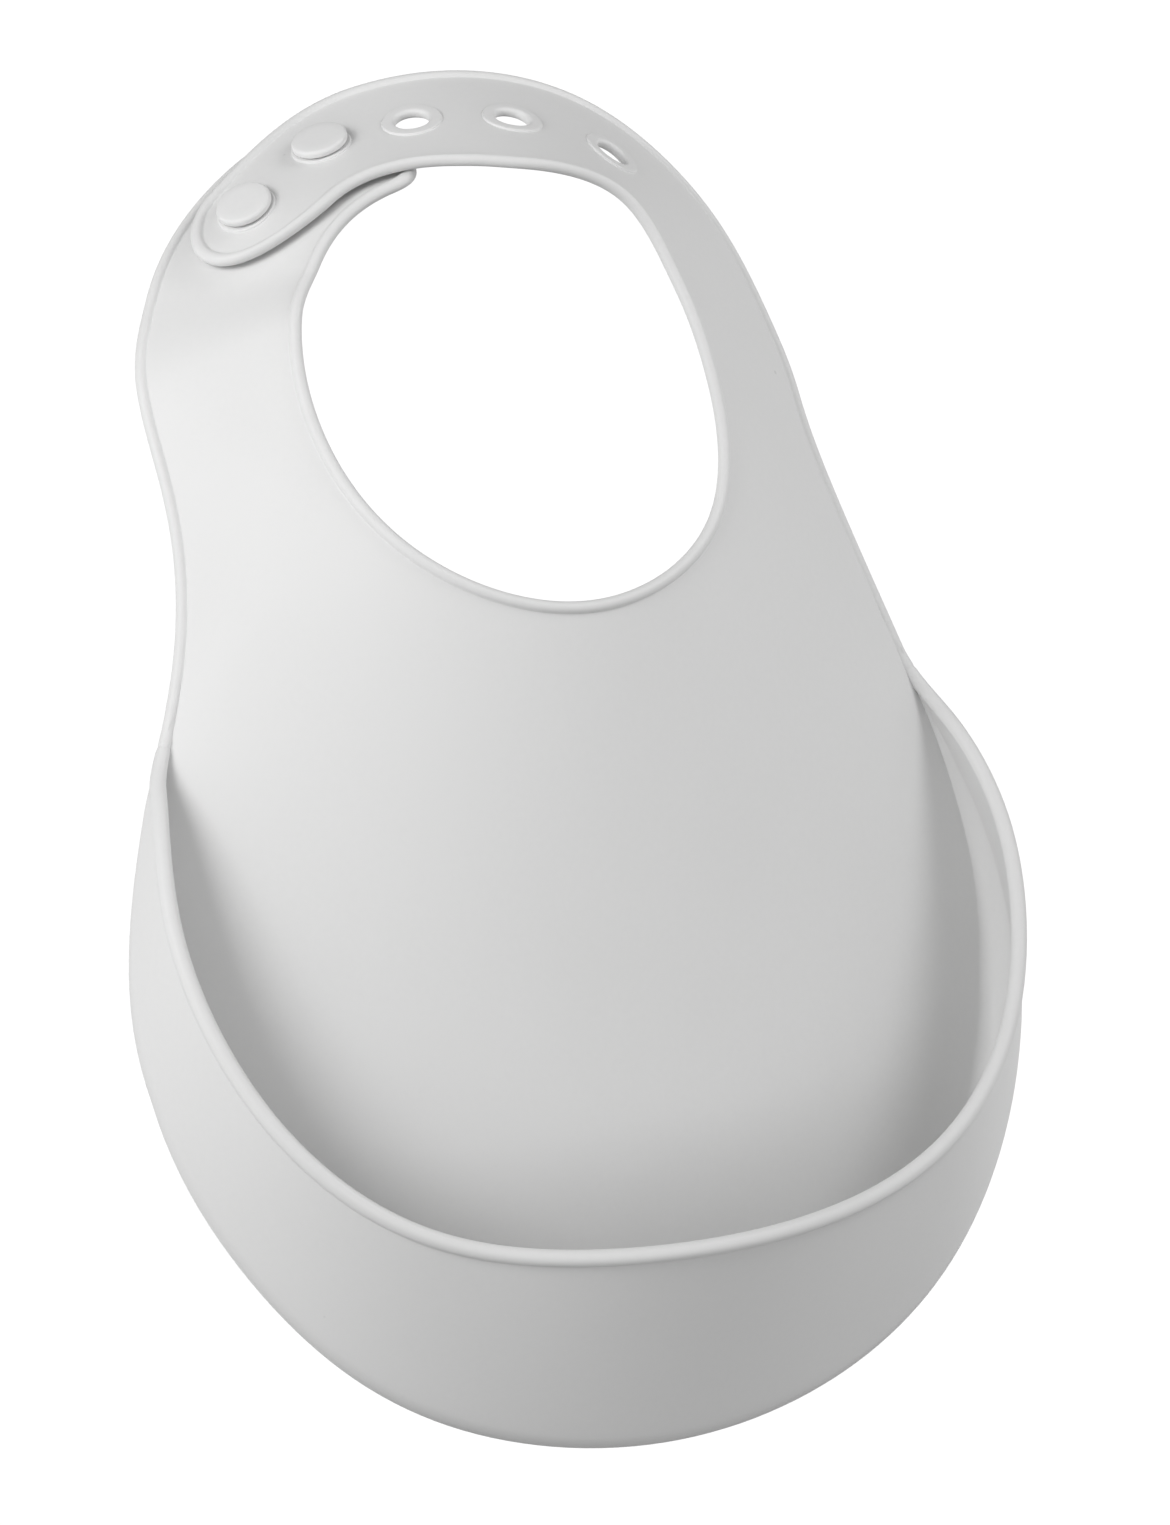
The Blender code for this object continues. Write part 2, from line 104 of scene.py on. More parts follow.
# How far the bead's ends are slimmed inside the edges that they run in, and over how many rows.
BEAD_SLIMS, BEAD_SLIM_ROWS = 0.03, 8

# The eyelets from the strap's tip on, by angle and by share of the way across. The first ones
# hold the studs. The stud strap dips behind the eyelet strap between two angles.
HOLES_AT = (238, 215, 193.5, 167, 137)
HOLES_ACROSS = (0.58, 0.59, 0.53, 0.50, 0.52)
STUDS = 2
DIP, DIP_STARTS, DIP_ENDS = 3.3, -90, -106
# The straps' round ends: where each starts to close and where it ends. The eyelet strap's tip
# narrows to a half width, as a share of the sheet's breadth, between two angles.
TIP_CENTRE, TIP_END, TIP_HALF_WIDTH = 235, 251.5, 0.38
TIP_NARROWS_FROM, TIP_NARROW_BY = 195, 232
STUD_END_CENTRE, STUD_END = -138, -158

# The eyelet rings, and the studs' heads and stems. A head stays a gap above its eyelet.
EYELET_RADIUS, EYELET_BORE, EYELET_RAISE, RING_TOP = 7.2, 4.1, 1.5, 1.4
HEAD_RADIUS, HEAD_THICK, STEM_RADIUS = 6.8, 1.9, 3.2
GAP = 0.3

# Where the skin is cut into pieces, each strap's hinge and a reach from it for a bend that no
# skin gets, and the radius of the holes in it, whose edges the rings cover.
STUD_SEAM, STRAP_SEAM, TIP_SEAM = -62, 70, 199.5
STUD_HINGE, STUD_BEND = -85, 14
STRAP_HINGE, STRAP_BEND = 100, 20
TIP_HINGE, TIP_BEND = 204.2, 3.4
HOLE = 5.6

# Degrees between rows of the mesh: in general, by the pocket's corners, along the corner beads
# and beside the seams, where close rows keep the shading even from one piece to the next.
ROW, CORNER_ROW, BEAD_ROW, SEAM_ROW = 0.8, 0.2, 0.25, 0.05
# The small turn, in degrees, over which the sheet's slope along its length is read.
SLOPE = 0.02

# Each silicone's tone and roughness.
SHEET_LOOK = ((0.70, 0.70, 0.698, 1.0), 0.5)
RING_LOOK = ((0.715, 0.715, 0.713, 1.0), 0.46)
STUD_LOOK = ((0.725, 0.725, 0.723, 1.0), 0.44)

# The camera turns from the front to the wearer's right, up, and about its own axis.
CAMERA_TURN = (22.61, 3.48, -4.92)
CAMERA_AIM, CAMERA_DISTANCE = np.array([-5.2, 0, 167.3]), 819.8
LENS, SENSOR = 85, 36

# The soft light's levels from straight below, at 0, to straight above, at 1.
SKY = ((0.0, 0.21), (0.26, 0.21), (0.29, 0.95), (0.5, 0.67), (1.0, 0.0))
SKY_LIGHT = 1.2
# The floor and the backdrop, in metres.
FLOOR_TONE, FLOOR_GLOW = (0.8, 0.8, 0.8, 1.0), 0.45
FLOOR_LEVEL, FLOOR_RADIUS = -0.85, 1.7
BACKDROP_TONE, BACKDROP_GLOW, BACKDROP_RADIUS = (0.0, 0.0, 0.0, 1.0), 1.05, 9
# Each lamp's name, place in metres, size, power and aim.
LIGHTS = (
    ("near_light", (-0.7, -0.35, 0.25), 0.4, 3.4, (0, 0, -0.05)),
    ("far_light", (1.0, -0.8, 1.0), 0.9, 9.6, (0, 0, -0.05)),
    ("side_light", (-1.1, -0.2, 0.4), 0.35, 1.2, (0.09, 0.01, -0.12)),
)


# ------------------------------------------------------------------ lines of the moulding

def loop_spline(stations):
    """A smooth closed line through points given by their angle round the neck."""
    angles = np.array(sorted(stations), float)
    points = np.array([stations[a] for a in sorted(stations)], float)
    count = len(angles)
    step = np.diff(np.append(angles, angles[0] + 360.0))
    slope = (np.roll(points, -1, 0) - points) / step[:, None]
    matrix = np.zeros((count, count))
    right = np.zeros((count, 3))
    for i in range(count):
        matrix[i, i - 1] = step[i]
        matrix[i, i] = 2 * (step[i - 1] + step[i])
        matrix[i, (i + 1) % count] = step[i - 1]
        right[i] = 3 * (step[i] * slope[i - 1] + step[i - 1] * slope[i])
    tangent = np.linalg.solve(matrix, right)

    def line(angle):
        angle = np.asarray(angle, float) % 360.0
        angle = np.where(angle < angles[0], angle + 360.0, angle)
        i = np.clip(np.searchsorted(angles, angle, side="right") - 1, 0, count - 1)
        j = (i + 1) % count
        t = ((angle - angles[i]) / step[i])[..., None]
        reach = step[i][..., None]
        return (
            (2 * t**3 - 3 * t**2 + 1) * points[i]
            + (t**3 - 2 * t**2 + t) * reach * tangent[i]
            + (3 * t**2 - 2 * t**3) * points[j]
            + (t**3 - t**2) * reach * tangent[j]
        )

    return line


def even_spline(values):
    """A smooth curve on 0..1 that is mirrored at 0, through equally spaced values."""
    half = np.linspace(0.0, 1.0, len(values))
    knots = np.concatenate([-half[:0:-1], half])
    heights = np.concatenate([np.array(values, float)[:0:-1], values])
    count = len(knots)
    step = half[1]
    matrix = np.eye(count)
    right = np.zeros(count)
    for i in range(1, count - 1):
        matrix[i, i - 1:i + 2] = (1, 4, 1)
        right[i] = 6 * (heights[i + 1] - 2 * heights[i] + heights[i - 1]) / step**2
    bend = np.linalg.solve(matrix, right)

    def curve(s):
        i = np.clip(np.searchsorted(knots, s, side="right") - 1, 0, count - 2)
        a = (knots[i + 1] - s) / step
        b = (s - knots[i]) / step
        bow = ((a**3 - a) * bend[i] + (b**3 - b) * bend[i + 1]) * step**2 / 6
        return a * heights[i] + b * heights[i + 1] + bow

    return curve


def outer_stations():
    """The collar's outer edge joined to the fold line and its mirror image."""
    stations = dict(COLLAR_EDGE)
    for angle, (x, y, z) in FOLD_LINE.items():
        stations[angle] = (x, y, z)
        if angle:
            stations[360 - angle] = (-x, y, z)
    return stations


neck_line = loop_spline(NECK_EDGE)
outer_line = loop_spline(outer_stations())
wall_height = even_spline(WALL_HEIGHT)
wall_lean = even_spline(WALL_LEAN)


def unit(vectors):
    return vectors / np.linalg.norm(vectors, axis=-1, keepdims=True)


def smooth(start, end, value):
    """0 before start, 1 after end, easing between."""
    t = np.clip((np.asarray(value, float) - start) / (end - start), 0.0, 1.0)
    return t * t * (3 - 2 * t)


def across(angle):
    """The direction from the neck edge to the outer line, and the sheet's front normal."""
    out = unit(outer_line(angle) - neck_line(angle))
    along = outer_line(np.asarray(angle) + 0.5) - outer_line(np.asarray(angle) - 0.5)
    return out, unit(np.cross(out, along))


def room(line, angle, direction, width):
    """How far to go from a line in a direction to come a width away from it."""
    angle = np.asarray(angle, float)
    along = unit(line(angle + 0.5) - line(angle - 0.5))
    return width / np.linalg.norm(np.cross(along, direction), axis=-1)


def breadth_at(angle):
    """How far it is from the neck edge to the outer line."""
    return np.linalg.norm(outer_line(angle) - neck_line(angle), axis=-1)


def steps(start, end, size):
    """Evenly spaced angles about a size apart, both ends included."""
    return np.linspace(start, end, max(int(round(abs(end - start) / size)), 1) + 1)


# ---------------------------------------------------------------------- the sheet's section

def edge_face(side, radius, rise):
    """Insets from an edge and heights above the mid-sheet over its bead, side 1 in front."""
    flat = SHEET / 2
    meet = np.clip((flat + FILLET - side * rise) / radius, 0, 0.98)
    turn = np.linspace(0, 1, 11) * (math.pi - np.arcsin(meet))[..., None]
    inset = radius[..., None] * (1 - np.cos(turn))
    height = side * rise[..., None] + radius[..., None] * np.sin(turn)
    run_out = inset[..., -1:] + FILLET_RUN
    falls = np.broadcast_to(flat + FILLET * FILLET_FALL, run_out.shape)
    return np.concatenate([inset, run_out], -1), side * np.concatenate([height, falls], -1)


def edge_radius(angle):
    """The outer bead's radius; the rim's fades at a corner, where its own bead runs on."""
    rim = RIM_BEAD + (SHEET / 2 - RIM_BEAD) * smooth(*RIM_FADES, np.abs(angle))
    return np.where(np.abs(angle) < POCKET_CORNER, rim, BEAD)


def edge_rise(angle):
    """How far the outer bead's middle stands in front of the sheet's."""
    return BEAD_RAISE + (RIM_RAISE - BEAD_RAISE) * (np.abs(angle) < POCKET_CORNER)


def face_columns(side, angle, web):
    """Insets and heights over both edges' beads, and heights of the flat between them."""
    same = np.ones_like(angle)
    near, near_height = edge_face(side, BEAD * same, BEAD_RAISE * same)
    far, far_height = edge_face(side, edge_radius(angle), edge_rise(angle))
    flat = np.broadcast_to(side * SHEET / 2, (len(angle), web))
    height = np.concatenate([near_height, flat, far_height[:, ::-1]], axis=1)
    return near, far, height


class Front:
    """The sheet from the neck edge down the panel, round the fold and up the wall."""

    web = 110

    def fold(self, angle):
        """The fold line, drawn in a little at the corners, and how far along the sheet it is."""
        out, _ = across(angle)
        turned = np.abs(angle)
        draws_in = smooth(*DRAWS_IN, turned) * (1 - smooth(POCKET_CORNER, LETS_OUT, turned))
        draws_in = draws_in * room(outer_line, angle, out, SHEET / 2)
        return outer_line(angle) - out * draws_in[..., None], breadth_at(angle) - draws_in

    def wall(self, angle):
        """How far the wall turns at the fold, its direction up, and its height."""
        out, normal = across(angle)
        share = np.minimum(np.abs(angle) / POCKET_CORNER, 1)
        height = np.where(share < 1, np.maximum(wall_height(share), 0), 0)
        turn = (np.radians(90 + wall_lean(share)) * (share < 1))[..., None]
        return turn, out * np.cos(turn) + normal * np.sin(turn), height

    def edge(self, angle):
        """The line of the rim, which runs on as the collar's outer edge."""
        _, up, height = self.wall(angle)
        return self.fold(angle)[0] + up * height[..., None]

    def point(self, angle, reach):
        """The point a reach along the sheet from the neck edge, and the way it runs on."""
        out, normal = across(angle)
        turn, up, height = self.wall(angle)
        fold, fold_reach = self.fold(angle)
        past = (reach - fold_reach)[..., None]
        rounding = np.maximum(np.minimum(FOLD_ROUNDING, FOLD_SHARE * height), 1e-6)[..., None]
        swing = turn * np.clip((past / rounding + 1) / 2, 0, 1)
        radius = rounding / np.tan(np.maximum(turn, 0.1) / 2)
        round_fold = out * np.sin(swing) + normal * (1 - np.cos(swing))
        place = fold - out * rounding + round_fold * radius
        place = np.where(past < -rounding, fold + out * past, place)
        place = np.where(past > rounding, fold + up * past, place)
        return place, out * np.cos(swing) + normal * np.sin(swing)

    def face(self, angles, side):
        """A face of the sheet, a row of points for each angle from edge to edge."""
        near, far, height = face_columns(side, angles, self.web)
        out, _ = across(angles)
        _, up, wall = self.wall(angles)
        whole = self.fold(angles)[1] + wall
        from_neck = room(neck_line, angles, out, 1)[:, None] * near
        from_edge = whole[:, None] - room(self.edge, angles, up, 1)[:, None] * far[:, ::-1]
        share = np.linspace(0, 1, self.web + 2)[1:-1]
        start, end = from_neck[:, -1:], from_edge[:, :1]
        reach = np.concatenate([from_neck, start + (end - start) * share, from_edge], axis=1)
        angle = np.broadcast_to(angles[:, None], reach.shape)
        point, along = self.point(angle, reach)
        ahead, _ = self.point(angle + SLOPE, reach)
        behind, _ = self.point(angle - SLOPE, reach)
        return point + unit(np.cross(along, ahead - behind)) * height[..., None]


class Strap:
    """A strap that follows the sheet, narrowed or lifted off it, with a round end."""

    web = 34

    def __init__(self, narrowing, lift, centre, end):
        self.narrowing = narrowing
        self.lift = lift
        self.centre = centre
        self.end = end

    def surface(self, angle, share):
        """The strap's middle surface at a share of the way across the sheet."""
        _, normal = across(angle)
        share = np.asarray(share, float)[..., None]
        flat = neck_line(angle) * (1 - share) + outer_line(angle) * share
        return flat + normal * np.asarray(self.lift(angle), float)[..., None]

    def point(self, angle, share):
        """The point at a share across the sheet, and the strap's front normal there."""
        out, _ = across(angle)
        ahead = self.surface(np.asarray(angle) + SLOPE, share)
        behind = self.surface(np.asarray(angle) - SLOPE, share)
        return self.surface(angle, share), unit(np.cross(out, ahead - behind))

    def end_inside(self, width):
        """The angle a width short of the round end."""
        step = np.linalg.norm(
            self.surface(self.end + 0.5, 0.5) - self.surface(self.end - 0.5, 0.5)
        )
        return self.end - np.copysign(width / step, self.end - self.centre)

    def face(self, angles, turns, side):
        """A face of the strap; turns, in degrees, closes the rows round its end."""
        near, far, height = face_columns(side, angles, self.web)
        inset = np.concatenate([near, np.repeat(near[:, -1:], self.web, 1), far[:, ::-1]], 1)
        turn = np.radians(turns)[:, None]
        angle = angles[:, None] + (self.end_inside(inset) - self.centre) * np.sin(turn)
        out, _ = across(angle)
        low = room(neck_line, angle, out, inset) / breadth_at(angle) + self.narrowing(angle)
        high = 1 - room(outer_line, angle, out, inset) / breadth_at(angle) - self.narrowing(angle)
        between = np.linspace(0, 1, self.web + 2)[1:-1]
        place = np.concatenate([np.zeros(near.shape[1]), between, np.ones(far.shape[1])])
        middle, half = (low + high) / 2, (high - low) / 2
        share = middle + half * np.cos(turn) * (2 * place - 1)
        point, normal = self.point(angle, share)
        return point + normal * height[..., None]


def no_narrowing(angle):
    return np.zeros_like(angle)


def tip_narrowing(angle):
    return (0.5 - TIP_HALF_WIDTH) * smooth(TIP_NARROWS_FROM, TIP_NARROW_BY, angle)


def no_lift(angle):
    return np.zeros_like(np.asarray(angle, float))


def stud_strap_lift(angle):
    return -DIP * smooth(DIP_STARTS, DIP_ENDS, angle)


FRONT = Front()
EYELET_STRAP = Strap(tip_narrowing, no_lift, TIP_CENTRE, TIP_END)
STUD_STRAP = Strap(no_narrowing, stud_strap_lift, STUD_END_CENTRE, STUD_END)


# ---------------------------------------------------------------------------------- meshes

def in_frame(points):
    """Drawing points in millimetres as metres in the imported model's frame."""
    return (np.asarray(points) - NECK_MIDDLE) * MM


def make_object(name, points, faces, material):
    """A smooth mesh object, with doubled points joined and loose ones removed."""
    mesh = bpy.data.meshes.new(name)
    mesh.from_pydata(in_frame(points).tolist(), [], faces)
    form = bmesh.new()
    form.from_mesh(mesh)
    bmesh.ops.remove_doubles(form, verts=form.verts, dist=2e-7)
    bmesh.ops.dissolve_degenerate(form, edges=form.edges, dist=2e-7)
    loose = [vert for vert in form.verts if not vert.link_faces]
    bmesh.ops.delete(form, geom=loose, context="VERTS")
    bmesh.ops.recalc_face_normals(form, faces=form.faces)
    form.to_mesh(mesh)
    form.free()
    mesh.shade_smooth()
    mesh.set_sharp_from_angle(angle=math.radians(60))
    mesh.materials.append(material)
    thing = bpy.data.objects.new(name, mesh)
    bpy.context.collection.objects.link(thing)
    return thing


def tube_faces(rows, columns):
    """Quads between rows of numbered points, each row closed on itself."""
    faces = []
    for i in range(rows - 1):
        for j in range(columns):
            k = (j + 1) % columns
            low, high = i * columns, (i + 1) * columns
            faces.append((low + j, low + k, high + k, high + j))
    return faces


def skin(name, front, back, holes, material):
    """The moulding between its front and back faces, open where eyelets go."""
    loops = np.concatenate([front, back[:, -2:0:-1]], axis=1)
    rows, columns = loops.shape[:2]
    points = loops.reshape(-1, 3)
    faces = tube_faces(rows, columns)
    middles = points[np.array(faces)].mean(axis=1)
    keep = np.ones(len(faces), bool)
    for centre in holes:
        keep &= np.linalg.norm(middles - centre, axis=1) > HOLE
    faces = [face for face, kept in zip(faces, keep) if kept]
    faces.append(tuple(range(columns)))
    if np.ptp(loops[-1, :, 0]) > SHEET:
        faces.append(tuple(range((rows - 1) * columns, rows * columns)))
    return make_object(name, points, faces, material)


def front_angles():
    """Rows over the front, closer at the pocket's corners and beside the seams."""
    near_corner, past_corner = POCKET_CORNER - 5, POCKET_CORNER + 0.001
    right = np.concatenate([
        [STUD_SEAM, STUD_SEAM + SEAM_ROW], steps(STUD_SEAM + ROW, -past_corner - 1, ROW),
        [-past_corner], steps(-POCKET_CORNER + SEAM_ROW, -near_corner, CORNER_ROW),
    ])
    middle = steps(-near_corner, near_corner, ROW)[1:-1]
    left = np.concatenate([
        steps(near_corner, POCKET_CORNER - SEAM_ROW, CORNER_ROW), [past_corner],
        steps(past_corner + 1, STRAP_SEAM - ROW, ROW), [STRAP_SEAM - SEAM_ROW, STRAP_SEAM],
    ])
    return np.concatenate([right, middle, left])


def strap_rows(start, end):
    """Angles along a strap between two seams, with close rows beside each."""
    side = np.sign(end - start)
    inner = steps(start + ROW * side, end - ROW * side, ROW)
    return np.concatenate([[start, start + SEAM_ROW * side], inner, [end - SEAM_ROW * side, end]])


def end_rows(strap, start):
    """Angles to where a round end starts, and the turns that close it."""
    side = np.sign(strap.end - strap.centre)
    inner = steps(start + ROW * side, strap.centre, ROW)
    straight = np.append([start, start + SEAM_ROW * side], inner)
    turns = 90 * np.linspace(0, 1, 41)[1:]
    angles = np.append(straight, np.full(len(turns), float(strap.centre)))
    return angles, np.append(np.zeros(len(straight)), turns)


def on_strap(number, aside, down):
    """Points and normals of the strap at offsets from a hole's middle, found step by step."""
    start_angle, start_share = HOLES_AT[number], HOLES_ACROSS[number]
    centre, normal = EYELET_STRAP.point(start_angle, start_share)
    out, _ = across(start_angle)
    along = np.cross(normal, out)
    target = centre + aside[:, None] * along + down[:, None] * out
    angle = np.full(len(aside), float(start_angle))
    share = np.full(len(aside), float(start_share))
    for _ in range(12):
        here = EYELET_STRAP.surface(angle, share)
        pace = (EYELET_STRAP.surface(angle + SLOPE, share) - here) @ along / SLOPE
        miss = target - here
        share = share + miss @ out / breadth_at(angle)
        angle = angle + miss @ along / pace
    return EYELET_STRAP.point(angle, share)


def turned(name, profile, place, closed, material, slot):
    """A round piece from (radius, height) corners; place gives the surface under a circle."""
    sides = 64
    turn = np.linspace(0, 2 * math.pi, sides, endpoint=False)
    points = []
    for radius, height in profile:
        surface, normal = place(radius * np.cos(turn), radius * np.sin(turn))
        points.append(surface + normal * height)
    if closed:
        points.append(points[0])
    faces = tube_faces(len(points), sides)
    return make_object(name, np.concatenate(points), faces, material)


def rounded(radius, height, size, start, end):
    """(radius, height) corners round a quarter turn about a centre."""
    turn = np.radians(np.linspace(start, end, 7))
    return [(radius + size * math.cos(t), height + size * math.sin(t)) for t in turn]


# ------------------------------------------------------------------------------- the pieces

def tube(name, line, facing, radii, material):
    """A round bead along a line of points, with closed ends."""
    along = unit(np.gradient(line, axis=0))
    aside = unit(np.cross(along, facing))
    facing = np.cross(aside, along)
    sides = 32
    turn = np.linspace(0, 2 * math.pi, sides, endpoint=False)[None, :, None]
    ring = np.cos(turn) * facing[:, None] + np.sin(turn) * aside[:, None]
    points = line[:, None] + ring * radii[:, None, None]
    faces = tube_faces(len(line), sides)
    faces.append(tuple(range(sides)))
    faces.append(tuple(range((len(line) - 1) * sides, len(line) * sides)))
    return make_object(name, points.reshape(-1, 3), faces, material)


def build_corner_bead(side, name, material):
    """The bead that joins the collar's edge to the rim, with a fine parting line round it."""
    first, leaves, joins, last = CORNER_BEAD
    angles = side * steps(first, leaves, BEAD_ROW)
    out, normal = across(angles)
    inset = room(outer_line, angles, out, BEAD)[:, None]
    collar = outer_line(angles) - out * inset + normal * BEAD_RAISE

    angles = side * steps(joins, last, BEAD_ROW)
    _, up, height = FRONT.wall(angles)
    fold, _ = FRONT.fold(angles)
    wall_normal = unit(np.cross(up, side * np.gradient(fold, axis=0)))
    rim = fold + up * (height - room(FRONT.edge, angles, up, RIM_BEAD))[:, None]
    rim = rim - wall_normal * RIM_RAISE

    leap = np.linalg.norm(rim[0] - collar[-1]) / 3
    leave = collar[-1] + unit(collar[-1] - collar[-2]) * leap
    arrive = rim[0] - unit(rim[1] - rim[0]) * leap
    t = np.linspace(0, 1, 62)[1:-1, None]
    turn = collar[-1] * (1 - t) ** 3 + leave * 3 * t * (1 - t) ** 2
    turn = turn + arrive * 3 * t**2 * (1 - t) + rim[0] * t**3

    line = np.concatenate([collar, turn, rim])
    facing = np.repeat(normal[-1:], len(line), axis=0)
    place = np.concatenate([np.zeros(len(collar)), t[:, 0], np.ones(len(rim))])
    radii = BEAD + (RIM_BEAD - BEAD) * smooth(0, 1, place)
    radii = radii - PARTING * np.exp(-(((place - PARTING_PLACE) / PARTING_WIDTH) ** 2))
    from_end = np.minimum(np.arange(len(line)), np.arange(len(line))[::-1])
    radii = radii * (1 - BEAD_SLIMS + BEAD_SLIMS * smooth(0, BEAD_SLIM_ROWS, from_end))
    bead = tube(f"corner_bead_{name}", line, facing, radii, material)
    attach(bead, "bib_front")


def hole_middle(number):
    """The middle of an eyelet on the strap's middle surface."""
    point, _ = EYELET_STRAP.point(HOLES_AT[number], HOLES_ACROSS[number])
    return point


def build_eyelet(number, material):
    """A low flat ring round a hole, rounded over on both faces and into the strap."""
    top, low, flat = RING_TOP, -SHEET / 2 - 0.1, SHEET / 2
    outside, behind, lip = 0.35, 0.3, 1.0
    profile = [(EYELET_RADIUS + 0.3, flat - 0.05), (EYELET_RADIUS + 0.08, flat + 0.03)]
    profile += rounded(EYELET_RADIUS - outside, top - outside, outside, 0, 90)
    profile += rounded(EYELET_BORE + lip, top - lip, lip, 90, 180)
    profile += rounded(EYELET_BORE + lip, low + lip, lip, 180, 270)
    profile += rounded(EYELET_RADIUS - behind, low + behind, behind, 270, 350)
    profile += [(EYELET_RADIUS + 0.25, -flat + 0.05)]

    def place(aside, down):
        return on_strap(number, aside, down)

    name = f"eyelet_ring_{number + 1}"
    ring = turned(name, profile, place, True, material, "silicone_bead")
    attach(ring, "strap_tip" if number < STUDS else "eyelet_strap")
    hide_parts(f"eyelet_{number + 1}")


def build_stud(number, material):
    """A round stem from the stud strap through the eyelet, under a soft flat head."""
    foot, low = SHEET / 2 - DIP - 0.1, EYELET_RAISE + GAP
    high = low + HEAD_THICK
    under, over, crown = 0.5, 0.9, 0.05
    profile = [(0.001, foot), (STEM_RADIUS + 0.9, foot), (STEM_RADIUS + 0.3, foot + 0.35)]
    profile += [(STEM_RADIUS, foot + 0.9), (STEM_RADIUS, low - 0.3), (STEM_RADIUS + 0.4, low)]
    profile += rounded(HEAD_RADIUS - under, low + under, under, 270, 360)
    profile += rounded(HEAD_RADIUS - over, high - over, over, 0, 78)
    profile += [(HEAD_RADIUS * 0.6, high + crown * 0.4), (HEAD_RADIUS * 0.3, high + crown * 0.8)]
    profile += [(0.001, high + crown)]
    out, normal = across(HOLES_AT[number])
    along = np.cross(normal, out)
    centre = hole_middle(number)

    def place(aside, down):
        return centre + aside[:, None] * along + down[:, None] * out, normal

    name = f"fastening_stud_{number + 1}"
    stud = turned(name, profile, place, False, material, "silicone_stud")
    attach(stud, "stud_strap")
    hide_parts(f"stud_{number + 1}")


def bend(thing, first, second, strap, angle, reach):
    """Bakes the skin's place into its mesh after reading the strap at a hinge; it bends nothing.
    """
    centre, normal = strap.point(angle, 0.5)
    out, _ = across(angle)
    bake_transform(thing)


def build_front_skin(material):
    angles = front_angles()
    front, back = FRONT.face(angles, 1), FRONT.face(angles, -1)
    thing = skin("bib_front_skin", front, back, [], material)
    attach(thing, "bib_front")
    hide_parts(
        "chest_panel", "left_shoulder", "right_shoulder", "pocket_front", "pocket_left",
        "pocket_right", "rim_bead_front", "rim_bead_left", "rim_bead_right", "neck_edge_bead",
        "left_edge_bead", "right_edge_bead",
    )


def build_stud_strap_skin(material):
    angles, turns = end_rows(STUD_STRAP, STUD_SEAM)
    front, back = STUD_STRAP.face(angles, turns, 1), STUD_STRAP.face(angles, turns, -1)
    thing = skin("stud_strap_skin", front, back, [], material)
    bend(thing, "bib_front", "stud_strap", STUD_STRAP, STUD_HINGE, STUD_BEND)
    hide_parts("stud_strap_web", "stud_strap_bead", "stud_strap_flex")


def build_eyelet_strap_skin(material):
    angles = strap_rows(STRAP_SEAM, TIP_SEAM)
    flat = np.zeros(len(angles))
    front, back = EYELET_STRAP.face(angles, flat, 1), EYELET_STRAP.face(angles, flat, -1)
    holes = [hole_middle(number) for number in range(STUDS, len(HOLES_AT))]
    thing = skin("eyelet_strap_skin", front, back, holes, material)
    bend(thing, "bib_front", "eyelet_strap", EYELET_STRAP, STRAP_HINGE, STRAP_BEND)
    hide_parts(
        "eyelet_strap_web", "eyelet_strap_inner_bead", "eyelet_strap_outer_bead",
        "eyelet_strap_flex",
    )


def build_tip_skin(material):
    angles, turns = end_rows(EYELET_STRAP, TIP_SEAM)
    front, back = EYELET_STRAP.face(angles, turns, 1), EYELET_STRAP.face(angles, turns, -1)
    holes = [hole_middle(number) for number in range(STUDS)]
    thing = skin("strap_tip_skin", front, back, holes, material)
    bend(thing, "eyelet_strap", "strap_tip", EYELET_STRAP, TIP_HINGE, TIP_BEND)
    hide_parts("strap_tip_web", "strap_tip_bead", "strap_tip_flex")


# -------------------------------------------------------------------------------- materials

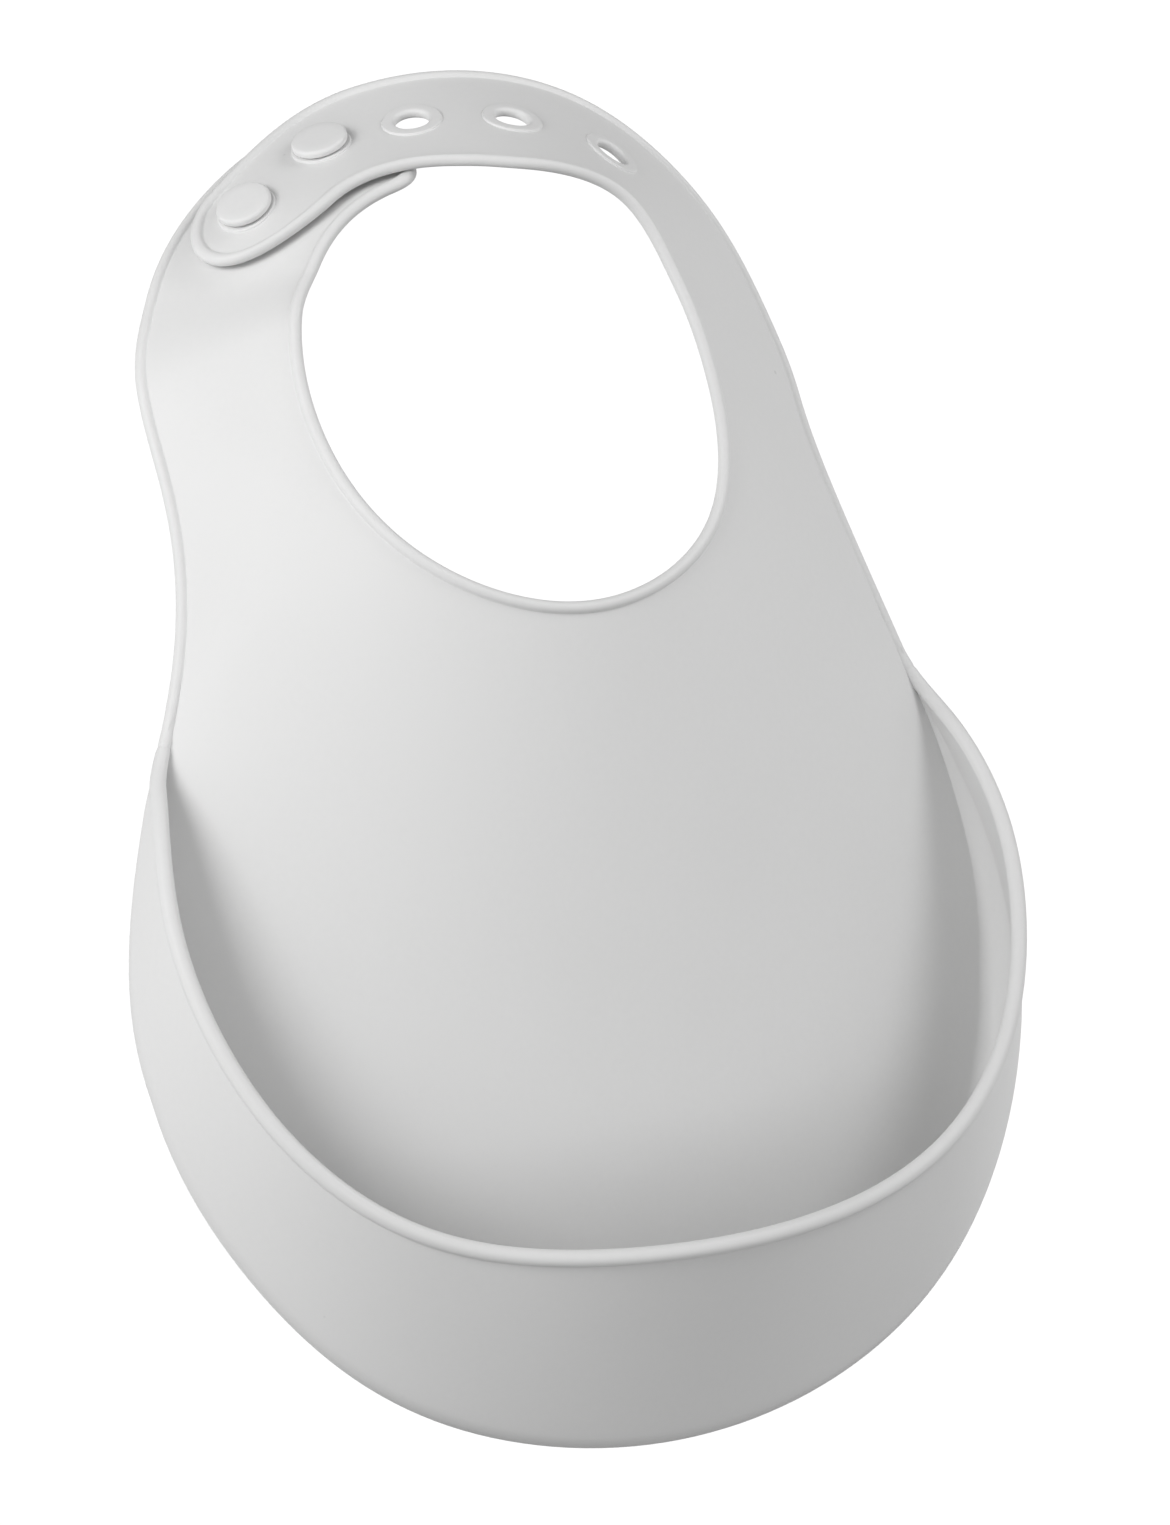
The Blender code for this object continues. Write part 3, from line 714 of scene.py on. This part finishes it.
def silicone(name, tone, roughness):
    """Matt food-grade silicone with a faint bloom, fine grain and a few specks of dust."""
    material = bpy.data.materials.new(name)
    material.use_nodes = True
    tree = material.node_tree
    shader = tree.nodes["Principled BSDF"]
    shader.inputs["IOR"].default_value = 1.41
    shader.inputs["Specular IOR Level"].default_value = 0.42
    shader.inputs["Sheen Weight"].default_value = 0.06
    shader.inputs["Sheen Roughness"].default_value = 0.5
    place = tree.nodes.new("ShaderNodeTexCoord").outputs["Object"]

    def noise(scale, detail):
        node = tree.nodes.new("ShaderNodeTexNoise")
        node.inputs["Scale"].default_value = scale
        node.inputs["Detail"].default_value = detail
        tree.links.new(place, node.inputs["Vector"])
        return node.outputs["Fac"]

    def remap(value, low, high, start=0.3, end=0.7):
        node = tree.nodes.new("ShaderNodeMapRange")
        node.inputs["From Min"].default_value = start
        node.inputs["From Max"].default_value = end
        node.inputs["To Min"].default_value = low
        node.inputs["To Max"].default_value = high
        tree.links.new(value, node.inputs["Value"])
        return node.outputs["Result"]

    def times(first, second):
        node = tree.nodes.new("ShaderNodeMath")
        node.operation = "MULTIPLY"
        tree.links.new(first, node.inputs[0])
        tree.links.new(second, node.inputs[1])
        return node.outputs["Value"]

    specks = tree.nodes.new("ShaderNodeTexVoronoi")
    specks.inputs["Scale"].default_value = 42
    specks.inputs["Randomness"].default_value = 1.0
    tree.links.new(place, specks.inputs["Vector"])
    dust = remap(specks.outputs["Distance"], 0.86, 1.0, 0.018, 0.026)
    mottle = times(remap(noise(9, 3), 0.975, 1.01), remap(noise(700, 2), 0.992, 1.004))
    shade = tree.nodes.new("ShaderNodeMix")
    shade.data_type = "RGBA"
    shade.inputs["A"].default_value = (0.0, 0.0, 0.0, 1.0)
    shade.inputs["B"].default_value = tone
    tree.links.new(times(mottle, dust), shade.inputs["Factor"])
    tree.links.new(shade.outputs["Result"], shader.inputs["Base Color"])
    rough = remap(noise(26, 4), roughness - 0.05, roughness + 0.06)
    tree.links.new(rough, shader.inputs["Roughness"])

    grain = tree.nodes.new("ShaderNodeBump")
    grain.inputs["Strength"].default_value = 0.16
    grain.inputs["Distance"].default_value = 0.00006
    tree.links.new(noise(2600, 3), grain.inputs["Height"])
    soft = tree.nodes.new("ShaderNodeBump")
    soft.inputs["Strength"].default_value = 0.25
    soft.inputs["Distance"].default_value = 0.0004
    tree.links.new(noise(34, 2), soft.inputs["Height"])
    tree.links.new(soft.outputs["Normal"], grain.inputs["Normal"])
    tree.links.new(grain.outputs["Normal"], shader.inputs["Normal"])
    return material


def glowing_paint(name, tone, glow):
    """A plain matt paint that is a little bright by itself."""
    material = bpy.data.materials.new(name)
    material.use_nodes = True
    shader = material.node_tree.nodes["Principled BSDF"]
    shader.inputs["Base Color"].default_value = tone
    shader.inputs["Roughness"].default_value = 0.9
    shader.inputs["Specular IOR Level"].default_value = 0.0
    shader.inputs["Emission Color"].default_value = (1.0, 1.0, 1.0, 1.0)
    shader.inputs["Emission Strength"].default_value = glow
    return material


# ------------------------------------------------------------------------ studio and camera

def only_seen(thing):
    """Leave a thing to the camera alone, so that it neither lights nor shades the bib."""
    thing.visible_diffuse = False
    thing.visible_glossy = False
    thing.visible_transmission = False
    thing.visible_shadow = False


def build_floor():
    """A plain pale round floor well below the bib, which hangs by its neck."""
    mesh = bpy.data.meshes.new("studio_floor")
    form = bmesh.new()
    bmesh.ops.create_circle(form, cap_ends=True, segments=96, radius=FLOOR_RADIUS)
    form.to_mesh(mesh)
    form.free()
    mesh.materials.append(glowing_paint("floor_paint", FLOOR_TONE, FLOOR_GLOW))
    floor = bpy.data.objects.new("studio_floor", mesh)
    bpy.context.collection.objects.link(floor)
    floor.location.z = FLOOR_LEVEL
    only_seen(floor)


def build_backdrop():
    """A white dome all round."""
    mesh = bpy.data.meshes.new("studio_backdrop")
    form = bmesh.new()
    bmesh.ops.create_icosphere(form, subdivisions=4, radius=BACKDROP_RADIUS)
    form.to_mesh(mesh)
    form.free()
    mesh.materials.append(glowing_paint("backdrop_white", BACKDROP_TONE, BACKDROP_GLOW))
    backdrop = bpy.data.objects.new("studio_backdrop", mesh)
    bpy.context.collection.objects.link(backdrop)
    only_seen(backdrop)


def build_light(name, place, size, power, aim):
    """A round soft lamp that the camera doesn't see."""
    light = bpy.data.lights.new(name, "AREA")
    light.shape = "DISK"
    light.size = size
    light.energy = power
    lamp = bpy.data.objects.new(name, light)
    bpy.context.collection.objects.link(lamp)
    lamp.location = place
    lamp.rotation_euler = (Vector(aim) - Vector(place)).to_track_quat("-Z", "Y").to_euler()
    lamp.visible_camera = False


def build_world():
    """Soft light all round the bib, strongest from a little below the horizon."""
    world = bpy.data.worlds.new("studio_light")
    world.use_nodes = True
    tree = world.node_tree
    way = tree.nodes.new("ShaderNodeTexCoord").outputs["Generated"]
    parts = tree.nodes.new("ShaderNodeSeparateXYZ")
    tree.links.new(way, parts.inputs["Vector"])
    rise = tree.nodes.new("ShaderNodeMapRange")
    rise.inputs["From Min"].default_value = -1.0
    rise.inputs["From Max"].default_value = 1.0
    tree.links.new(parts.outputs["Z"], rise.inputs["Value"])
    sky = tree.nodes.new("ShaderNodeValToRGB")
    for place, level in SKY[1:-1]:
        sky.color_ramp.elements.new(place)
    for stop, (place, level) in zip(sky.color_ramp.elements, SKY):
        stop.position = place
        stop.color = (level, level, level, 1.0)
    tree.links.new(rise.outputs["Result"], sky.inputs["Fac"])
    tree.links.new(sky.outputs["Color"], tree.nodes["Background"].inputs["Color"])
    tree.nodes["Background"].inputs["Strength"].default_value = SKY_LIGHT
    bpy.context.scene.world = world


def build_camera():
    """A long lens a little above the middle and to the wearer's right, slightly rolled."""
    camera = bpy.data.cameras.new("camera")
    camera.sensor_fit = "VERTICAL"
    camera.sensor_height = SENSOR
    camera.lens = LENS
    swing, rise, roll = (math.radians(angle) for angle in CAMERA_TURN)
    back = np.array([
        -math.sin(swing) * math.cos(rise), -math.cos(swing) * math.cos(rise), math.sin(rise)
    ])
    side = unit(np.cross([0, 0, 1], back))
    above = np.cross(back, side)
    right = side * math.cos(roll) + above * math.sin(roll)
    up = above * math.cos(roll) - side * math.sin(roll)
    turn = Matrix(np.stack([right, up, back], axis=1).tolist()).to_4x4()
    stand = bpy.data.objects.new("camera", camera)
    bpy.context.collection.objects.link(stand)
    spot = in_frame(CAMERA_AIM + back * CAMERA_DISTANCE)
    stand.matrix_world = Matrix.Translation(spot.tolist()) @ turn
    bpy.context.scene.camera = stand


def main():
    sheet_skin = silicone("silicone_sheet_skin", *SHEET_LOOK)
    ring_skin = silicone("silicone_ring_skin", *RING_LOOK)
    stud_skin = silicone("silicone_stud_skin", *STUD_LOOK)
    build_front_skin(sheet_skin)
    build_stud_strap_skin(sheet_skin)
    build_eyelet_strap_skin(sheet_skin)
    build_tip_skin(sheet_skin)
    build_corner_bead(1, "left", sheet_skin)
    build_corner_bead(-1, "right", sheet_skin)
    for number in range(len(HOLES_AT)):
        build_eyelet(number, ring_skin)
    for number in range(STUDS):
        build_stud(number, stud_skin)
    build_floor()
    build_backdrop()
    build_world()
    for light in LIGHTS:
        build_light(*light)
    build_camera()
    bpy.context.scene.view_settings.view_transform = "Standard"


main()
